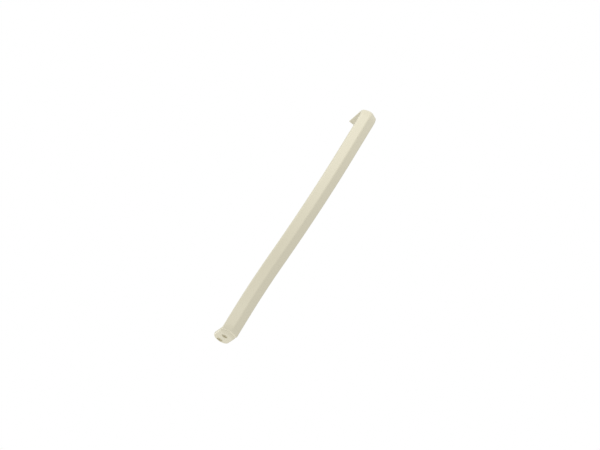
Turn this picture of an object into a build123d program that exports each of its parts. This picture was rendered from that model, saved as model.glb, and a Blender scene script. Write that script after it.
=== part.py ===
from build123d import *

import math
import os

# Refrigerator door handle, moulded in one piece, as it hangs on the door.
# X runs across the bar, +Y points into the door and +Z runs up the bar.
# The origin is midway between the two screw holes, on the face of the tongue that lies on the door's edge.
# All sizes are in millimetres.

# The bar's section: two flat facets that meet in a soft ridge, with straight sides behind them
bar_width = 26.5
crown_height = 5.7
ridge_radius = 3.5
edge_radius = 3.0
side_depth = 7.4
wall = 2.8
rim_rounding = 0.8

# The bar's line, seen from the side
overall_length = 438.5
stand_off = 56.4
low_straight = 42.8
low_bend_radius = 300.0
high_bend_radius = 636.0

# The rounded nose and the foot that runs back from it to the door
nose_radius = 13.6
foot_edge = 3.2
foot_droop = 3.0
inner_corner_radius = 10.0

# The screw boss under the foot
boss_diameter = 9.0
boss_length = 16.0
boss_below_edge = 2.0
pilot_diameter = 3.8
pilot_depth = 13.0
boss_web = 2.4

# The closed lower end, with the tongue that goes under the door
tongue_thickness = 5.0
tongue_length = 40.8
end_wall = 8.0
end_rounding = 2.5
near_hole_from_door = 13.3
hole_pitch = 20.0
screw_hole_diameter = 5.5
recess_diameter = 9.5
recess_depth = 2.5

# The ribs across the hollow back
rib_thickness = 2.0
rib_pitch = 27.0
rib_set_back = 1.0

# Places worked out from the sizes above
half_width = bar_width / 2
facet_angle = math.degrees(math.atan2(crown_height, half_width))
facet_secant = 1 / math.cos(math.radians(facet_angle))
ridge_height = crown_height - ridge_radius * (facet_secant - 1)
door_y = -(near_hole_from_door + hole_pitch / 2)
low_edge_y = door_y - side_depth
bottom_z = -tongue_thickness
nose_centre_z = bottom_z + overall_length - nose_radius - ridge_height
bend_drop = stand_off - side_depth
bend_angle = math.degrees(math.acos(1 - bend_drop / (low_bend_radius + high_bend_radius)))

# How far the sweeps and cuts run past what they trim, and how near an edge has to be to count as found
past_door = 6.0
past_back = 1.0
nearness = 0.01


def bar_line(depth, start_z, overrun):
    """The line that lies depth behind the facets' outer edges, drawn in the side view.

    It runs from start_z up, round the nose and along the foot, and ends overrun past the face of the door.
    """
    start = (low_edge_y + depth, start_z)
    foot_of_bend = (low_edge_y + depth, bottom_z + low_straight)
    low = Line(start, foot_of_bend)
    outward = JernArc(low @ 1, low % 1, low_bend_radius + depth, bend_angle)
    back = JernArc(outward @ 1, outward % 1, high_bend_radius - depth, -bend_angle)
    top_of_bar = ((back @ 1).X, nose_centre_z)
    high = Line(back @ 1, top_of_bar)
    nose = JernArc(high @ 1, high % 1, nose_radius - depth, -(90 + foot_droop))
    run = (door_y + overrun - (nose @ 1).X) / math.cos(math.radians(foot_droop))
    foot = Line(nose @ 1, nose @ 1 + (nose % 1) * run)
    return [low, outward, back, high, nose, foot]


def across_the_bar(start_z):
    """The plane across the bar's line at start_z, with its local y towards the door."""
    return Plane(origin=(0, low_edge_y, start_z), x_dir=(1, 0, 0), z_dir=(0, 0, 1))


def outer_section():
    """The ridged front of the bar, as deep as the foot's edges."""
    outline = Polyline(
        (-half_width, foot_edge),
        (-half_width, 0),
        (0, -crown_height),
        (half_width, 0),
        (half_width, foot_edge),
        close=True,
    )
    section = make_face(outline)
    edges = section.vertices().filter_by(lambda v: abs(v.Y) < foot_edge / 2)
    section = fillet(edges, edge_radius)
    ridge = section.vertices().sort_by(Axis.Y)[0]
    return fillet(ridge, ridge_radius)


def hollow_section(depth):
    """The inside of the bar's section, one wall inside the facets and sides, and open towards the door."""
    inside = half_width - wall
    ceiling = -crown_height + wall * facet_secant
    corner = ceiling + inside * math.tan(math.radians(facet_angle))
    outline = Polyline(
        (-inside, depth),
        (-inside, corner),
        (0, ceiling),
        (inside, corner),
        (inside, depth),
        close=True,
    )
    return make_face(outline)


def rib_clearance():
    """The strip between the ribs' back edges and the back of the bar."""
    middle = side_depth + (past_back - rib_set_back) / 2
    return Pos(0, middle) * Rectangle(bar_width - 2 * wall, past_back + rib_set_back)


def swept(section, start_z, overrun):
    """A section carried along the whole line of the bar."""
    line = Plane.YZ * Wire(bar_line(0, start_z, overrun))
    return sweep(across_the_bar(start_z) * section, path=line)


def side_walls():
    """What fills the bar out to its full depth, with the rounded corner between the bar and its foot."""
    share_of_edge = 0.75
    overlap = foot_edge * share_of_edge
    front = bar_line(overlap, bottom_z, 0)
    low, outward, back, _, nose, foot = bar_line(side_depth, bottom_z, 0)
    edge_of_nose = bar_line(0, bottom_z, 0)[4]
    slope = math.tan(math.radians(foot_droop))
    under_nose = edge_of_nose @ 1 + Vector(-slope, -1).normalized() * foot_edge
    corner_y = (back @ 1).X
    corner = Vector(corner_y, under_nose.Y + (under_nose.X - corner_y) * slope)
    foot_end = Vector(door_y, under_nose.Y - (door_y - under_nose.X) * slope)
    high = Line(back @ 1, corner)
    underside = Line(corner, foot_end)
    end = Line(foot_end, front[5] @ 1)
    start = Line(front[0] @ 0, low @ 0)
    profile = make_face(Wire([*front, low, outward, back, high, underside, end, start]))
    inner_corner = profile.vertices().sort_by_distance(corner)[0]
    profile = fillet(inner_corner, inner_corner_radius)
    return extrude(Plane.YZ * profile, half_width, both=True)


def tongue():
    """The plate that goes under the door, with a full round end."""
    straight = tongue_length - half_width
    overlap = side_depth / 2
    middle = door_y + (straight - overlap) / 2
    plate = Pos(0, middle) * Rectangle(bar_width, straight + overlap)
    plate += Pos(0, door_y + straight) * Circle(half_width)
    return extrude(Pos(0, 0, bottom_z) * plate, tongue_thickness)


def screw_holes():
    """Two screw holes through the tongue, each with a flat recess for its screw head underneath."""
    holes = []
    for y in (-hole_pitch / 2, hole_pitch / 2):
        shank = Cylinder(screw_hole_diameter / 2, 2 * tongue_thickness, align=(Align.CENTER, Align.CENTER))
        head = Cylinder(recess_diameter / 2, 2 * recess_depth)
        holes.append(Pos(0, y, bottom_z / 2) * shank)
        holes.append(Pos(0, y, bottom_z) * head)
    return holes


def ribs():
    """Slabs across the bar where the hollow is left full, so that the ribs draw straight out of the mould."""
    lowest = bottom_z + end_wall + rib_pitch
    highest = nose_centre_z
    count = int((highest - lowest) / rib_pitch) + 1
    slab = Pos(0, door_y - stand_off / 2) * Box(bar_width, 3 * stand_off, rib_thickness)
    slabs = []
    for k in range(count):
        slabs.append(Pos(0, 0, lowest + k * rib_pitch) * slab)
    return slabs


def foot_boss():
    """The boss that takes the screw from inside the door, on a web under the foot's ridge."""
    foot = bar_line(0, bottom_z, 0)[5]
    centre_z = (foot @ 1).Y - boss_below_edge
    ceiling_z = (foot @ 1).Y + crown_height - wall
    axis = Plane(origin=(0, door_y, centre_z), x_dir=(1, 0, 0), z_dir=(0, -1, 0))
    boss = extrude(axis * Circle(boss_diameter / 2), boss_length)
    height = ceiling_z - centre_z
    web = Pos(0, door_y - boss_length / 2, centre_z + height / 2) * Box(boss_web, boss_length, height)
    pilot = extrude(axis * Circle(pilot_diameter / 2), pilot_depth)
    return boss + web, pilot


def back_rims(body):
    """The outer edges of the open back, up from the tongue, round the inner corner and along the foot."""
    line = Plane.YZ * Wire(bar_line(0, bottom_z, 0))
    behind_the_front = 0.95 * foot_edge
    rims = []
    for edge in body.edges():
        place = edge.center()
        at_the_side = abs(abs(place.X) - half_width) < nearness
        above_tongue = place.Z > tongue_thickness
        if at_the_side and above_tongue:
            if line.distance_to(Vertex(0, place.Y, place.Z)) > behind_the_front:
                rims.append(edge)
    return rims


def tongue_rim(body):
    """The outline of the tongue's upper face."""
    level = body.edges().filter_by(lambda e: abs(e.center().Z) < nearness)
    return level.filter_by(lambda e: e.center().Y > door_y + past_back)


def handle():
    front = swept(outer_section(), bottom_z, past_door)
    trim = Box(2 * bar_width, stand_off, stand_off)
    behind_the_door_face = Pos(0, door_y + stand_off / 2, nose_centre_z) * trim
    body = front - behind_the_door_face + side_walls() + tongue()
    lower_rim = body.edges().filter_by(lambda e: abs(e.center().Z - bottom_z) < nearness)
    body = fillet(lower_rim, end_rounding)
    body = fillet(back_rims(body) + list(tongue_rim(body)), rim_rounding)

    hollow = swept(hollow_section(side_depth + past_back), bottom_z + end_wall, -wall)
    behind_the_ribs = swept(rib_clearance(), bottom_z + end_wall, -wall)
    body = body - (hollow - ribs()) - behind_the_ribs
    boss, pilot = foot_boss()
    body = body + boss - pilot
    body = body - screw_holes()
    return body


os.makedirs("parts", exist_ok=True)
piece = handle()
piece.label = "handle"
export_step(piece, "parts/handle.step")
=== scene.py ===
import math

import bmesh
import bpy
from mathutils import Matrix, Vector
from mathutils.bvhtree import BVHTree


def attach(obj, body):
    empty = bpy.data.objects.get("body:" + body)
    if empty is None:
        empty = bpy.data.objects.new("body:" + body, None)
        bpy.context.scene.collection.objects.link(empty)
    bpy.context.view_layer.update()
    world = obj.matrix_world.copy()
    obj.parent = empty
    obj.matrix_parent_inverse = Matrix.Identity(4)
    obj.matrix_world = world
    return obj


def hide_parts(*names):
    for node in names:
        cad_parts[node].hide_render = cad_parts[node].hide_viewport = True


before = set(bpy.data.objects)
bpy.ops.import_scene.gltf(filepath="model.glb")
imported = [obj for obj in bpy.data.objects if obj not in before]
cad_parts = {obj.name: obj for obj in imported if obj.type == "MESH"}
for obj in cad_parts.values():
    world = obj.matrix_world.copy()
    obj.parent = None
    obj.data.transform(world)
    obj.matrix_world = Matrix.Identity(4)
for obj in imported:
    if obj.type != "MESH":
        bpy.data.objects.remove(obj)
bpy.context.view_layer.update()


# The handle
# One injection moulding in almond ABS. Its ridged front sweeps round the heel into the tongue, where the ridge
# fades out, and over a domed nose into the foot, where it widens into a low arch. The mould was finely etched
# and then polished back to a soft sheen.
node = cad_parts["handle"]
half_width = max(v.co.x for v in node.data.vertices)
underside = min(v.co.z for v in node.data.vertices)
door_face = -0.0233
side_depth = 0.0074
stand_off = 0.0564
tiny = 1e-6
graze = 5 * tiny
well_outside = 0.1
quarter_turn = math.pi / 2
forward = Vector((0.0, -1.0, 0.0))
up = Vector((0.0, 0.0, 1.0))

shell = bmesh.new()
shell.from_mesh(node.data)
bmesh.ops.remove_doubles(shell, verts=shell.verts, dist=tiny)
moulding = BVHTree.FromBMesh(shell)


def front_height(x, crown, blend, rounding):
    """How far the front stands out at x across the bar, its ridge rounded over blend and its sides too."""
    x = min(abs(x), half_width - graze)
    slope = crown / half_width
    angle = math.atan(slope)
    centre_x = half_width - rounding
    if x > centre_x + rounding * math.sin(angle):
        centre_height = slope * rounding - rounding / math.cos(angle)
        return centre_height + math.sqrt(max(0.0, rounding**2 - (x - centre_x) ** 2))
    if x > blend:
        return crown - slope * x
    return crown - slope * (blend / 2 + x * x / (2 * blend))


def reach_of_moulding(x, origin, out):
    """How far the moulding reaches from origin along out, in the lengthwise slice at x."""
    x = max(graze - half_width, min(half_width - graze, x))
    start = Vector((x, min(origin.y, door_face - graze), origin.z))
    hit = moulding.ray_cast(start + out * well_outside, -out)[0]
    return (hit - start).length


def arm_to(point, centre):
    """The way to a point from the line that runs across the bar through the centre."""
    return Vector((0.0, point.y - centre.y, point.z - centre.z))


def ramp(value, start, end):
    return min(1.0, max(0.0, (value - start) / (end - start)))


def eased(turn):
    return (1 - math.cos(math.pi * min(1.0, turn))) / 2


def between(first, last, share):
    return [a + (b - a) * share for a, b in zip(first, last)]


def cut(faces, point, normal):
    """Cut these faces, and no others, along a plane."""
    edges = dict.fromkeys(e for f in faces for e in f.edges)
    verts = dict.fromkeys(v for f in faces for v in f.verts)
    geometry = [*verts, *edges, *faces]
    bmesh.ops.bisect_plane(shell, geom=geometry, dist=tiny / 10, plane_co=point, plane_no=normal)


# The front's crown, its ridge's blend and its edges' rounding along the bar, under the tongue and on the foot
bar_shape = (0.0057, 0.0014, 0.003)
tongue_shape = (0.0, 0.005, 0.0025)
foot_shape = (0.0049, 0.0073, 0.003)

heel_radius = 0.013
heel_centre = Vector((0.0, door_face - side_depth + heel_radius, underside + heel_radius))
nose_radius = 0.0182
nose_height = 0.4117
nose_centre = Vector((0.0, door_face - stand_off + nose_radius, nose_height))
foot_droop = math.radians(5.5)
nose_turn = quarter_turn + foot_droop


def heel_faces():
    low, back = heel_centre.z + tiny, heel_centre.y + tiny
    return [f for f in shell.faces if all(v.co.z < low and v.co.y < back for v in f.verts)]


def nose_faces():
    return [f for f in shell.faces if all(v.co.z > nose_centre.z - tiny for v in f.verts)]


# The heel and the nose are cut off from the bar, then fanwise and lengthwise, so that they can be rounded
cuts_round = 24
cuts_across = 20
cut([f for f in shell.faces if any(v.co.z < heel_centre.z for v in f.verts)], heel_centre, (0, 0, 1))
cut([f for f in shell.faces if all(v.co.z < heel_centre.z + tiny for v in f.verts)], heel_centre, (0, 1, 0))
cut(list(shell.faces), nose_centre, (0, 0, 1))
for k in range(1, cuts_round):
    turn = quarter_turn * k / cuts_round
    cut(heel_faces(), heel_centre, (0, math.sin(turn), -math.cos(turn)))
for k in range(1, cuts_round + 1):
    turn = nose_turn * k / cuts_round
    cut(nose_faces(), nose_centre, (0, math.sin(turn), math.cos(turn)))
for k in range(1, cuts_across):
    x = half_width * (2 * k / cuts_across - 1)
    cut(heel_faces(), (x, 0, 0), (1, 0, 0))
    cut(nose_faces(), (x, 0, 0), (1, 0, 0))

# The heel's front swings from the bar's to the tongue's, and its inside stays where it is
moves = []
heel_still_within = 0.65
for v in dict.fromkeys(v for f in heel_faces() for v in f.verts):
    arm = arm_to(v.co, heel_centre)
    if arm.length < tiny:
        continue
    out = arm.normalized()
    share = eased(math.atan2(-arm.z, -arm.y) / quarter_turn)
    at_bar = reach_of_moulding(v.co.x, heel_centre, forward) - front_height(v.co.x, *bar_shape)
    at_tongue = reach_of_moulding(v.co.x, heel_centre, -up) - front_height(v.co.x, *tongue_shape)
    shape = between(bar_shape, tongue_shape, share)
    rounded = front_height(v.co.x, *shape) + at_bar + (at_tongue - at_bar) * share
    moulded = reach_of_moulding(v.co.x, heel_centre, out)
    moves.append((v, out * (rounded - moulded) * ramp(arm.length / moulded, heel_still_within, 1.0)))

# The nose's front swings from the bar's to the foot's, and on the foot every point moves straight up. What
# lies below the skin moves as the edges do, so that the walls stay straight.
nose_edge_swell = 0.0015
nose_still_within = 0.45
nose_moves_from = 0.75
skin_depth = 0.002
along_foot = Vector((0.0, math.cos(foot_droop), -math.sin(foot_droop)))


def nose_growth(x, origin, out, lean, turn):
    """How far the rounded nose stands out past the moulding at x, and how far the moulding reaches there."""
    share = eased(turn)
    crown, blend, rounding = between(bar_shape, foot_shape, share)
    rounding += nose_edge_swell * math.sin(math.pi * turn)
    at_bar = reach_of_moulding(x, nose_centre, forward) - nose_radius - front_height(x, *bar_shape)
    rounded = nose_radius + front_height(x, crown, blend, rounding) + at_bar * (1 - share)
    moulded = reach_of_moulding(x, origin, out)
    return rounded / lean - moulded, moulded


for v in dict.fromkeys(v for f in nose_faces() for v in f.verts):
    arm = arm_to(v.co, nose_centre)
    if arm.length < tiny:
        continue
    origin, out, lean = nose_centre, arm.normalized(), 1.0
    turn = math.atan2(arm.z, -arm.y) / nose_turn
    if arm.dot(along_foot) > 0:
        origin = nose_centre + Vector((0.0, arm.y, -arm.y * math.tan(foot_droop)))
        out, lean = up, math.cos(foot_droop)
        turn = 1.0
    at_skin, skin_reach = nose_growth(v.co.x, origin, out, lean, turn)
    at_edge, _ = nose_growth(half_width, origin, out, lean, turn)
    height = (v.co - origin).dot(out)
    near_skin = max(0.0, 1 - (skin_reach - height) / skin_depth)
    near_front = ramp(height / nose_radius, nose_still_within, nose_moves_from)
    moves.append((v, out * (at_edge + (at_skin - at_edge) * near_skin) * near_front))
for v, move in moves:
    v.co += move

# The plate that closes the foot's underside
plate_reach = 0.01635
plate_length = 0.0424
plate_start = -0.006
plate_thickness = 0.0025
plate_inset = 0.0025
across_foot = Vector((0.0, math.sin(foot_droop), math.cos(foot_droop)))
plate_middle = nose_centre + across_foot * plate_reach + along_foot * (plate_start + plate_length / 2)
plate_size = Matrix.Diagonal((2 * (half_width - plate_inset), plate_length, plate_thickness, 1.0))
tilt = Matrix.Rotation(-foot_droop, 4, "X")
bmesh.ops.create_cube(shell, size=1.0, matrix=Matrix.Translation(plate_middle) @ tilt @ plate_size)

sharp_turn = math.radians(50)
for face in shell.faces:
    face.smooth = True
for edge in shell.edges:
    edge.smooth = edge.is_manifold and edge.calc_face_angle(0.0) < sharp_turn
handle_mesh = bpy.data.meshes.new("moulded_handle")
shell.to_mesh(handle_mesh)
shell.free()
handle = bpy.data.objects.new("moulded_handle", handle_mesh)
bpy.context.scene.collection.objects.link(handle)
shading = handle.modifiers.new("flat_facets", "WEIGHTED_NORMAL")
shading.keep_sharp = True
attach(handle, "root")
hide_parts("handle")


def socket(group, name, kind, out, default=None):
    made = group.interface.new_socket(name=name, in_out="OUTPUT" if out else "INPUT", socket_type=kind)
    if default is not None:
        made.default_value = default


def moulded_grain():
    """A group that gives the fine grain of the etched tool and the slow drift of colour along the flow."""
    group = bpy.data.node_groups.new("moulded_grain", "ShaderNodeTree")
    socket(group, "Grain Scale", "NodeSocketFloat", False, 1800.0)
    socket(group, "Drift Scale", "NodeSocketFloat", False, 26.0)
    socket(group, "Grain", "NodeSocketFloat", True)
    socket(group, "Drift", "NodeSocketFloat", True)
    nodes, links = group.nodes, group.links
    inputs = nodes.new("NodeGroupInput")
    outputs = nodes.new("NodeGroupOutput")
    place = nodes.new("ShaderNodeTexCoord")
    along = nodes.new("ShaderNodeMapping")
    along.inputs["Scale"].default_value = (1.0, 1.0, 0.25)
    links.new(place.outputs["Object"], along.inputs["Vector"])
    drift = nodes.new("ShaderNodeTexNoise")
    drift.inputs["Detail"].default_value = 3.0
    drift.inputs["Roughness"].default_value = 0.55
    links.new(along.outputs["Vector"], drift.inputs["Vector"])
    links.new(inputs.outputs["Drift Scale"], drift.inputs["Scale"])
    grain = nodes.new("ShaderNodeTexNoise")
    grain.inputs["Detail"].default_value = 2.0
    grain.inputs["Roughness"].default_value = 0.6
    links.new(place.outputs["Object"], grain.inputs["Vector"])
    links.new(inputs.outputs["Grain Scale"], grain.inputs["Scale"])
    links.new(grain.outputs["Fac"], outputs.inputs["Grain"])
    links.new(drift.outputs["Fac"], outputs.inputs["Drift"])
    return group


def almond_plastic():
    material = bpy.data.materials.new("almond_plastic")
    material.use_nodes = True
    nodes, links = material.node_tree.nodes, material.node_tree.links
    almond = (0.66, 0.62, 0.475, 1.0)
    almond_pale = (0.69, 0.65, 0.505, 1.0)
    shader = nodes["Principled BSDF"]
    shader.inputs["IOR"].default_value = 1.5
    texture = nodes.new("ShaderNodeGroup")
    texture.node_tree = moulded_grain()
    colour = nodes.new("ShaderNodeMix")
    colour.data_type = "RGBA"
    colour.inputs["A"].default_value = almond
    colour.inputs["B"].default_value = almond_pale
    links.new(texture.outputs["Drift"], colour.inputs["Factor"])
    links.new(colour.outputs["Result"], shader.inputs["Base Color"])
    sheen = nodes.new("ShaderNodeMapRange")
    sheen.inputs["To Min"].default_value = 0.36
    sheen.inputs["To Max"].default_value = 0.48
    links.new(texture.outputs["Drift"], sheen.inputs["Value"])
    links.new(sheen.outputs["Result"], shader.inputs["Roughness"])
    relief = nodes.new("ShaderNodeBump")
    relief.inputs["Strength"].default_value = 0.25
    relief.inputs["Distance"].default_value = 0.00003
    links.new(texture.outputs["Grain"], relief.inputs["Height"])
    links.new(relief.outputs["Normal"], shader.inputs["Normal"])
    return material


handle_mesh.materials.append(almond_plastic())


# The room
# A plain pale floor, far enough below the handle for a view from underneath. The camera sees the room white,
# while its light on the handle stays plain.
floor_height = -3.2
floor_size = 16.0
sheet = bmesh.new()
floor_place = Matrix.Translation((0, 0, floor_height))
bmesh.ops.create_grid(sheet, x_segments=1, y_segments=1, size=floor_size / 2, matrix=floor_place)
floor_mesh = bpy.data.meshes.new("floor")
sheet.to_mesh(floor_mesh)
sheet.free()
floor = bpy.data.objects.new("floor", floor_mesh)
bpy.context.scene.collection.objects.link(floor)
pale = bpy.data.materials.new("pale_floor")
pale.use_nodes = True
floor_shader = pale.node_tree.nodes["Principled BSDF"]
floor_shader.inputs["Base Color"].default_value = (0.8, 0.8, 0.8, 1.0)
floor_shader.inputs["Roughness"].default_value = 0.9
floor_mesh.materials.append(pale)

room = bpy.data.worlds.new("room")
bpy.context.scene.world = room
room.use_nodes = True
room_nodes, room_links = room.node_tree.nodes, room.node_tree.links
room_nodes.clear()
rays = room_nodes.new("ShaderNodeLightPath")
seen = room_nodes.new("ShaderNodeMath")
seen.operation = "MAXIMUM"
room_links.new(rays.outputs["Is Camera Ray"], seen.inputs[0])
room_links.new(rays.outputs["Is Transmission Ray"], seen.inputs[1])
plain_white = (1.0, 1.0, 1.0, 1.0)
fill = room_nodes.new("ShaderNodeBackground")
fill.inputs["Color"].default_value = plain_white
fill.inputs["Strength"].default_value = 0.805
white = room_nodes.new("ShaderNodeBackground")
white.inputs["Color"].default_value = plain_white
white.inputs["Strength"].default_value = 1.0
both = room_nodes.new("ShaderNodeMixShader")
room_output = room_nodes.new("ShaderNodeOutputWorld")
room_links.new(seen.outputs["Value"], both.inputs["Fac"])
room_links.new(fill.outputs["Background"], both.inputs[1])
room_links.new(white.outputs["Background"], both.inputs[2])
room_links.new(both.outputs["Shader"], room_output.inputs["Surface"])


# The lamps
# A broad soft lamp high on the left, in front of the handle, a wide one below it, and two faint ones: behind
# on the left, for the underside of the foot, and high on the right, for the top of the right-hand facet.
middle = Vector((0.0, -0.05, 0.21))


def direction(azimuth, elevation):
    """The way out from the handle to a place in front of it, at these angles to the right and upwards."""
    level = math.cos(elevation)
    return Vector((math.sin(azimuth) * level, -math.cos(azimuth) * level, math.sin(elevation)))


def soft_lamp(name, azimuth, elevation, distance, size, power):
    """A square lamp that faces the middle of the handle."""
    back = direction(math.radians(azimuth), math.radians(elevation))
    data = bpy.data.lights.new(name, "AREA")
    data.shape = "SQUARE"
    data.size = size
    data.energy = power
    lamp = bpy.data.objects.new(name, data)
    lamp.location = middle + back * distance
    lamp.rotation_mode = "QUATERNION"
    lamp.rotation_quaternion = (-back).to_track_quat("-Z", "Y")
    bpy.context.scene.collection.objects.link(lamp)


soft_lamp("key_lamp", azimuth=-52.0, elevation=34.0, distance=0.85, size=0.5, power=2.7)
soft_lamp("low_lamp", azimuth=10.0, elevation=-80.0, distance=2.9, size=2.0, power=20.0)
soft_lamp("back_lamp", azimuth=-150.0, elevation=-35.0, distance=0.9, size=0.4, power=2.0)
soft_lamp("side_lamp", azimuth=60.0, elevation=55.0, distance=0.6, size=0.3, power=0.15)


# The camera
# It stands in front, well below the handle and a little to its left, and looks up at it through a long lens.
# It is rolled, so that the bar crosses the picture at a slant.
camera_azimuth = math.radians(-10.724)
camera_elevation = math.radians(-28.0)
camera_roll = math.radians(31.515)
camera_distance = 3.0564
camera_target = Vector((0.00109, -0.0533, 0.20209))
camera_data = bpy.data.cameras.new("camera")
camera_data.lens = 119.2
camera_data.sensor_width = 36.0
camera_back = direction(camera_azimuth, camera_elevation)
level_right = Vector((math.cos(camera_azimuth), math.sin(camera_azimuth), 0.0))
level_up = camera_back.cross(level_right)
camera_right = math.cos(camera_roll) * level_right + math.sin(camera_roll) * level_up
camera_up = math.cos(camera_roll) * level_up - math.sin(camera_roll) * level_right
turned = Matrix((camera_right, camera_up, camera_back)).transposed().to_4x4()
camera = bpy.data.objects.new("camera", camera_data)
camera.matrix_world = Matrix.Translation(camera_target + camera_back * camera_distance) @ turned
bpy.context.scene.collection.objects.link(camera)
bpy.context.scene.camera = camera
bpy.context.scene.view_settings.view_transform = "Standard"
